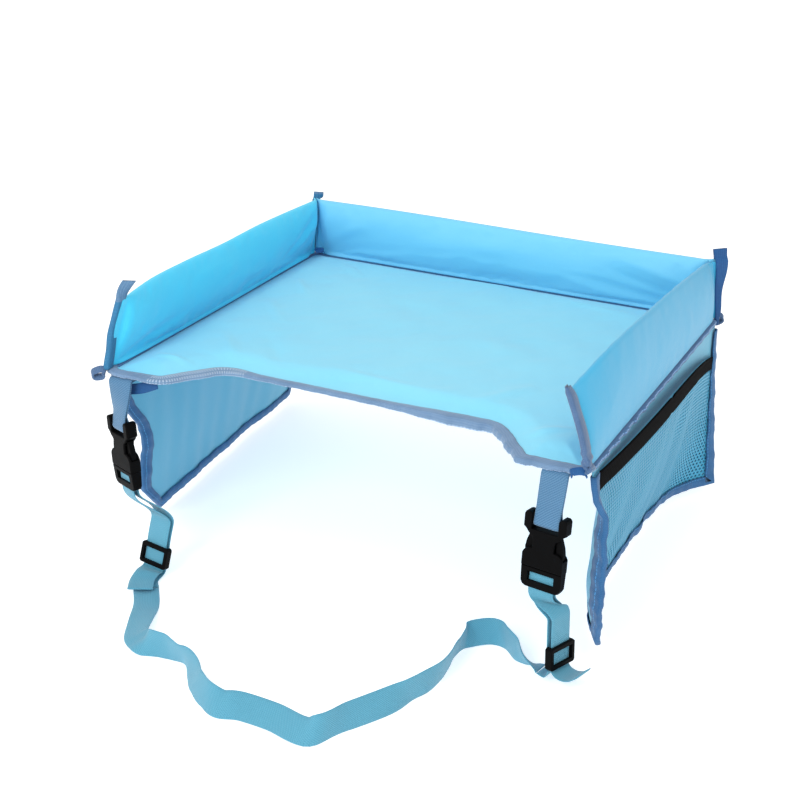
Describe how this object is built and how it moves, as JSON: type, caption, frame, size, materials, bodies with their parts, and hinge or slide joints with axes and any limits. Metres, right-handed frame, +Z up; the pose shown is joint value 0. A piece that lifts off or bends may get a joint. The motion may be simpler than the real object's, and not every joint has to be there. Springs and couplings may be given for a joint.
{
  "type": "car seat tray table",
  "caption": "Padded lap tray with soft walls, a leg cut-out, hanging side flaps with mesh pockets, and a buckled waist belt.",
  "frame": {"origin": "middle of the tray's flat underside", "axes": "+Z up out of the tray, +X to the wearer's left across the tray, -Y towards the leg cut-out and the belt"},
  "size_m": [0.4425, 0.5147, 0.2393],
  "materials": {
    "top_cloth": "woven polyester",
    "wall_cloth": "woven polyester",
    "lining_cloth": "woven polyester",
    "pocket_mesh": "woven polyester",
    "tape": "woven polyester",
    "webbing": "woven polyester",
    "tab_webbing": "woven polyester",
    "elastic": "ribbed elastic",
    "foam": "soft polyester foam",
    "board": "matte sheet",
    "black_plastic": "satin moulded"
  },
  "bodies": {
    "tray": {"base_board": "board", "base_foam_pad": "foam", "base_top_cover": "top_cloth", "base_bottom_cover": "lining_cloth", "left_wall_cover": "wall_cloth", "back_wall_cover": "wall_cloth", "right_wall_cover": "wall_cloth", "left_wall_foam": "foam", "back_wall_foam": "foam", "right_wall_foam": "foam", "front_edge_binding": "tape", "left_edge_binding": "tape", "right_edge_binding": "tape", "back_edge_binding": "tape", "front_left_end_binding": "tape", "front_right_end_binding": "tape", "back_left_corner_binding": "tape", "back_right_corner_binding": "tape", "left_webbing_tab": "tab_webbing", "right_webbing_tab": "tab_webbing", "left_buckle_socket": "black_plastic", "right_buckle_socket": "black_plastic", "left_belt_loop": "webbing", "right_belt_loop": "webbing", "belt_run": "webbing"},
    "left_flap": {"left_flap_panel": "lining_cloth", "left_flap_mesh": "pocket_mesh", "left_flap_elastic": "elastic", "left_flap_binding": "tape"},
    "right_flap": {"right_flap_panel": "lining_cloth", "right_flap_mesh": "pocket_mesh", "right_flap_elastic": "elastic", "right_flap_binding": "tape"},
    "left_buckle_insert": {"left_buckle_insert": "black_plastic"},
    "left_slider": {"left_slider": "black_plastic"},
    "left_buckle_left_prong": {"left_buckle_left_prong": "black_plastic"},
    "left_buckle_right_prong": {"left_buckle_right_prong": "black_plastic"},
    "right_buckle_insert": {"right_buckle_insert": "black_plastic"},
    "right_slider": {"right_slider": "black_plastic"},
    "right_buckle_left_prong": {"right_buckle_left_prong": "black_plastic"},
    "right_buckle_right_prong": {"right_buckle_right_prong": "black_plastic"}
  },
  "joints": [
    {"name": "left_flap_fold", "type": "hinge", "parent": "tray", "child": "left_flap", "pos_m": [-0.1985, 0, -0.0004], "axis": [0, 1, 0], "range_deg": [-70, 90]},
    {"name": "right_flap_fold", "type": "hinge", "parent": "tray", "child": "right_flap", "pos_m": [0.1985, 0, -0.0004], "axis": [0, -1, 0], "range_deg": [-70, 90]},
    {"name": "left_buckle_release", "type": "slide", "parent": "tray", "child": "left_buckle_insert", "axis": [0.0932, -0.0173, -0.9955], "range_m": [0, 0.027], "deforming": ["left_belt_loop", "left_buckle_left_prong", "left_buckle_right_prong"]},
    {"name": "left_buckle_left_press", "type": "hinge", "parent": "left_buckle_insert", "child": "left_buckle_left_prong", "pos_m": [-0.18773, -0.17405, -0.07365], "axis": [0.4693, 0.8826, 0.0286], "range_deg": [0, 7], "stiffness_Nm_per_rad": 0.02},
    {"name": "left_buckle_right_press", "type": "hinge", "parent": "left_buckle_insert", "child": "left_buckle_right_prong", "pos_m": [-0.16964, -0.18373, -0.07179], "axis": [-0.4693, -0.8826, -0.0286], "range_deg": [0, 7], "stiffness_Nm_per_rad": 0.02},
    {"name": "left_slider_adjust", "type": "slide", "parent": "tray", "child": "left_slider", "axis": [-0.0201, 0.2614, 0.965], "range_m": [0, 0.014]},
    {"name": "right_buckle_release", "type": "slide", "parent": "tray", "child": "right_buckle_insert", "axis": [-0.0086, -0.0725, -0.9973], "range_m": [0, 0.027], "deforming": ["right_belt_loop", "right_buckle_left_prong", "right_buckle_right_prong"]},
    {"name": "right_buckle_left_press", "type": "hinge", "parent": "right_buckle_insert", "child": "right_buckle_left_prong", "pos_m": [0.16378, -0.17948, -0.07252], "axis": [0.156, 0.9851, -0.0729], "range_deg": [0, 7], "stiffness_Nm_per_rad": 0.02},
    {"name": "right_buckle_right_press", "type": "hinge", "parent": "right_buckle_insert", "child": "right_buckle_right_prong", "pos_m": [0.18413, -0.1827, -0.07247], "axis": [-0.156, -0.9851, 0.0729], "range_deg": [0, 7], "stiffness_Nm_per_rad": 0.02},
    {"name": "right_slider_adjust", "type": "slide", "parent": "tray", "child": "right_slider", "axis": [-0.0604, 0.0604, 0.9963], "range_m": [0, 0.014]}
  ],
  "couplings": [
    {"joint": "left_buckle_right_press", "follows": "left_buckle_left_press", "ratio": 1},
    {"joint": "right_buckle_right_press", "follows": "right_buckle_left_press", "ratio": 1}
  ]
}
